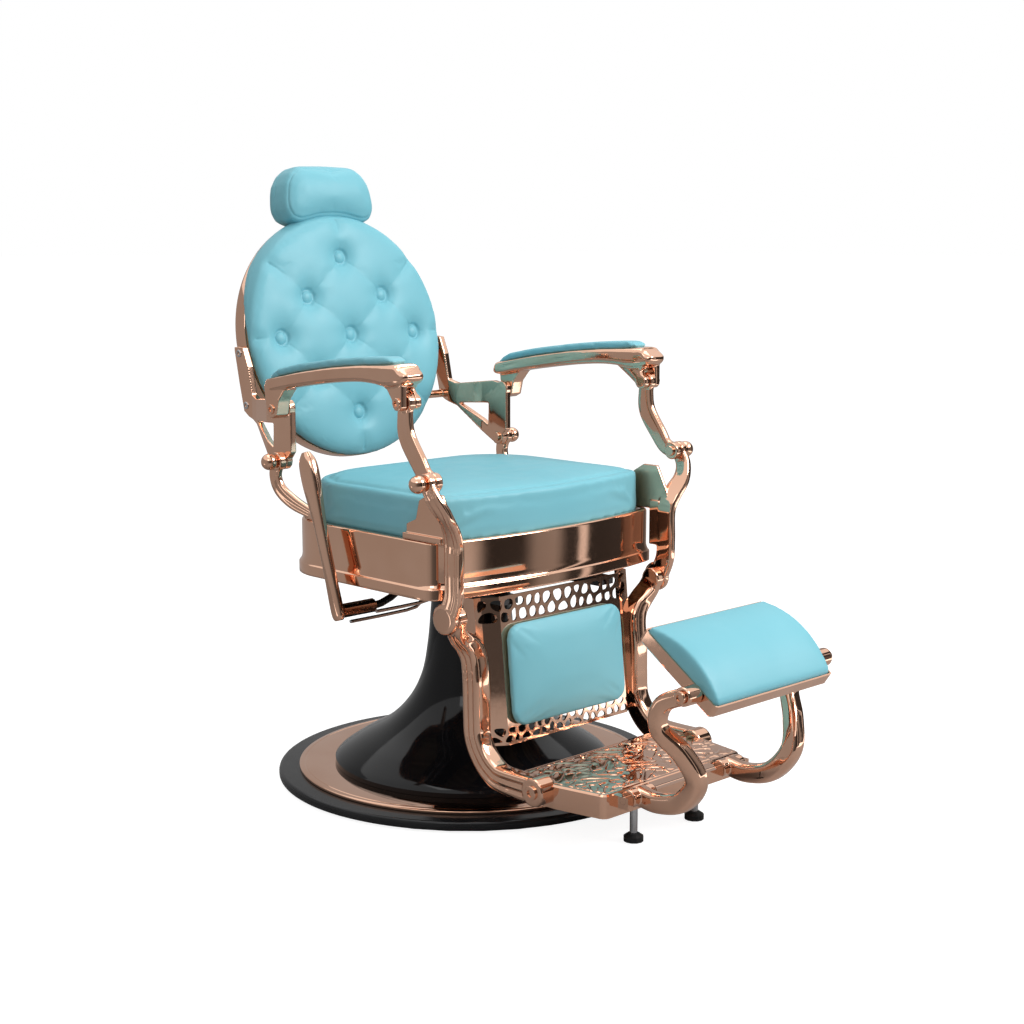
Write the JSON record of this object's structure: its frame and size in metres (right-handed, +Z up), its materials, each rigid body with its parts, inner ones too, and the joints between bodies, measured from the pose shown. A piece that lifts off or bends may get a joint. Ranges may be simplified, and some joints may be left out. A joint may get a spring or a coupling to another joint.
{
  "type": "barber chair",
  "caption": "Barber chair with a round button-tufted back, cast polished arms and posts, pump lift, swivel, reclining back with linked arms and leg rest, folding foot pad and sliding headrest.",
  "frame": {"origin": "on the floor, under the centre of the round base", "axes": "+Z up, the sitter faces -Y, +X is the sitter's left"},
  "size_m": [0.7, 1.1436, 1.0942],
  "materials": {
    "rose_gold": "polished",
    "vinyl": "satin",
    "black_gloss": "gloss",
    "black_steel": "satin",
    "bright_steel": "satin",
    "rubber": "matte",
    "plywood": "matte"
  },
  "bodies": {
    "base": {"base_plate": "black_steel", "base_floor_pad": "rubber", "base_trim_ring": "rose_gold", "pedestal_cover": "black_gloss", "pump_cylinder": "black_steel", "cylinder_gland": "bright_steel"},
    "ram": {"lift_ram": "bright_steel", "ram_piston": "rubber", "thrust_bearing": "bright_steel"},
    "seat": {"swivel_hub": "black_steel", "seat_subframe": "black_steel", "seat_board": "plywood", "seat_skirt": "rose_gold", "seat_cushion": "vinyl", "front_post_left": "rose_gold", "front_post_right": "rose_gold", "rear_post_left": "rose_gold", "rear_post_right": "rose_gold", "link_pin_left": "rose_gold", "link_pin_right": "rose_gold", "back_pin_left": "rose_gold", "back_pin_right": "rose_gold", "lever_shaft": "black_steel", "lever_rod_long": "bright_steel", "lever_rod_short": "bright_steel"},
    "lever": {"pump_lever": "rose_gold", "lever_sleeve": "rose_gold"},
    "back": {"back_shell": "rose_gold", "back_board": "plywood", "back_cushion": "vinyl", "back_bracket_left": "rose_gold", "back_bracket_right": "rose_gold", "headrest_socket": "black_steel", "headrest_clamp_knob": "rubber"},
    "headrest": {"headrest_bar": "bright_steel", "headrest_plate": "black_steel", "headrest_cushion": "vinyl"},
    "arm_left": {"arm_frame_left": "rose_gold", "arm_pad_left": "vinyl"},
    "arm_right": {"arm_frame_right": "rose_gold", "arm_pad_right": "vinyl"},
    "link_left": {"arm_link_left": "rose_gold"},
    "link_right": {"arm_link_right": "rose_gold"},
    "legrest": {"leg_frame_left": "rose_gold", "leg_frame_right": "rose_gold", "legrest_bar_left": "black_steel", "legrest_bar_right": "black_steel", "calf_panel": "rose_gold", "calf_pad": "vinyl", "footplate": "rose_gold", "fork_rod": "bright_steel"},
    "fork": {"fork_arm_left": "rose_gold", "fork_arm_right": "rose_gold"},
    "pan": {"foot_pan": "rose_gold", "foot_pad": "vinyl"},
    "leveller_left": {"leveller_rod_left": "bright_steel", "leveller_pad_left": "rubber"},
    "leveller_right": {"leveller_rod_right": "bright_steel", "leveller_pad_right": "rubber"}
  },
  "joints": [
    {"name": "lift", "type": "slide", "parent": "base", "child": "ram", "axis": [0, 0, 1], "range_m": [0, 0.15]},
    {"name": "swivel", "type": "hinge", "parent": "ram", "child": "seat", "pos_m": [0, 0, 0.366], "axis": [0, 0, 1], "continuous": true},
    {"name": "lever_pump", "type": "hinge", "parent": "seat", "child": "lever", "pos_m": [-0.2985, 0.012, 0.34], "axis": [-1, 0, 0], "range_deg": [-8, 18]},
    {"name": "recline", "type": "hinge", "parent": "seat", "child": "back", "pos_m": [0, 0.197, 0.578], "axis": [-1, 0, 0], "range_deg": [0, 35]},
    {"name": "headrest_slide", "type": "slide", "parent": "back", "child": "headrest", "axis": [0, 0.1771, 0.9842], "range_m": [0, 0.08]},
    {"name": "arm_left_pivot", "type": "hinge", "parent": "back", "child": "arm_left", "pos_m": [0.2845, 0.186, 0.671], "axis": [-1, 0, 0], "range_deg": [-41, 0]},
    {"name": "arm_right_pivot", "type": "hinge", "parent": "back", "child": "arm_right", "pos_m": [-0.2845, 0.186, 0.671], "axis": [-1, 0, 0], "range_deg": [-41, 0]},
    {"name": "link_left_pivot", "type": "hinge", "parent": "seat", "child": "link_left", "pos_m": [0.291, -0.2245, 0.584], "axis": [-1, 0, 0], "range_deg": [0, 29.4]},
    {"name": "link_right_pivot", "type": "hinge", "parent": "seat", "child": "link_right", "pos_m": [-0.291, -0.2245, 0.584], "axis": [-1, 0, 0], "range_deg": [0, 29.4]},
    {"name": "legrest_swing", "type": "hinge", "parent": "seat", "child": "legrest", "pos_m": [0, -0.222, 0.356], "axis": [-1, 0, 0], "range_deg": [0, 28]},
    {"name": "fork_fold", "type": "hinge", "parent": "legrest", "child": "fork", "pos_m": [0, -0.506, 0.096], "axis": [-1, 0, 0], "range_deg": [-20, 35]},
    {"name": "pan_tilt", "type": "hinge", "parent": "fork", "child": "pan", "pos_m": [0, -0.645, 0.295], "axis": [-1, 0, 0], "range_deg": [-25, 20]},
    {"name": "leveller_left_screw", "type": "slide", "parent": "legrest", "child": "leveller_left", "axis": [0, 0, 1], "range_m": [0, 0.011]},
    {"name": "leveller_right_screw", "type": "slide", "parent": "legrest", "child": "leveller_right", "axis": [0, 0, 1], "range_m": [0, 0.011]}
  ],
  "couplings": [
    {"joint": "arm_left_pivot", "follows": "recline", "ratio": -1.17},
    {"joint": "arm_right_pivot", "follows": "recline", "ratio": -1.17},
    {"joint": "link_left_pivot", "follows": "recline", "ratio": 0.8375},
    {"joint": "link_right_pivot", "follows": "recline", "ratio": 0.8375},
    {"joint": "legrest_swing", "follows": "recline", "ratio": 0.8}
  ]
}
